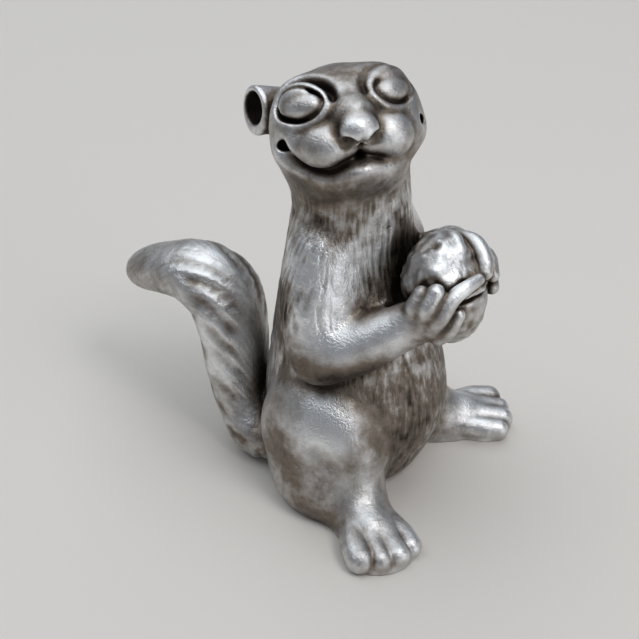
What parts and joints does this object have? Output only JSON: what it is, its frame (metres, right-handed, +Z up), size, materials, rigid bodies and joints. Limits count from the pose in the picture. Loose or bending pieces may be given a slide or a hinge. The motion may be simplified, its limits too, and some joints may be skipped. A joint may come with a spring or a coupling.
{
  "type": "squirrel figurine",
  "caption": "Small cast metal squirrel that sits up on a flat seat, turns its head to its right and holds an acorn to its chest, with its tail bent backwards.",
  "frame": {"origin": "middle of the flat seat under the torso, on the ground", "axes": "+Z up, -Y the way the squirrel sits facing, -X its own right"},
  "size_m": [0.0291, 0.0385, 0.0398],
  "materials": {
    "casting": "antique patina, rubbed bright on raised places",
    "dowel": "turned"
  },
  "bodies": {
    "root": {"torso": "casting", "head": "casting", "right_ear": "casting", "left_ear": "casting", "right_arm": "casting", "left_arm": "casting", "right_hind_leg": "casting", "left_hind_leg": "casting", "tail": "casting", "nut": "casting", "neck_dowel": "dowel", "tail_dowel": "dowel", "shoulder_dowels": "dowel", "hip_dowels": "dowel"}
  },
  "joints": []
}
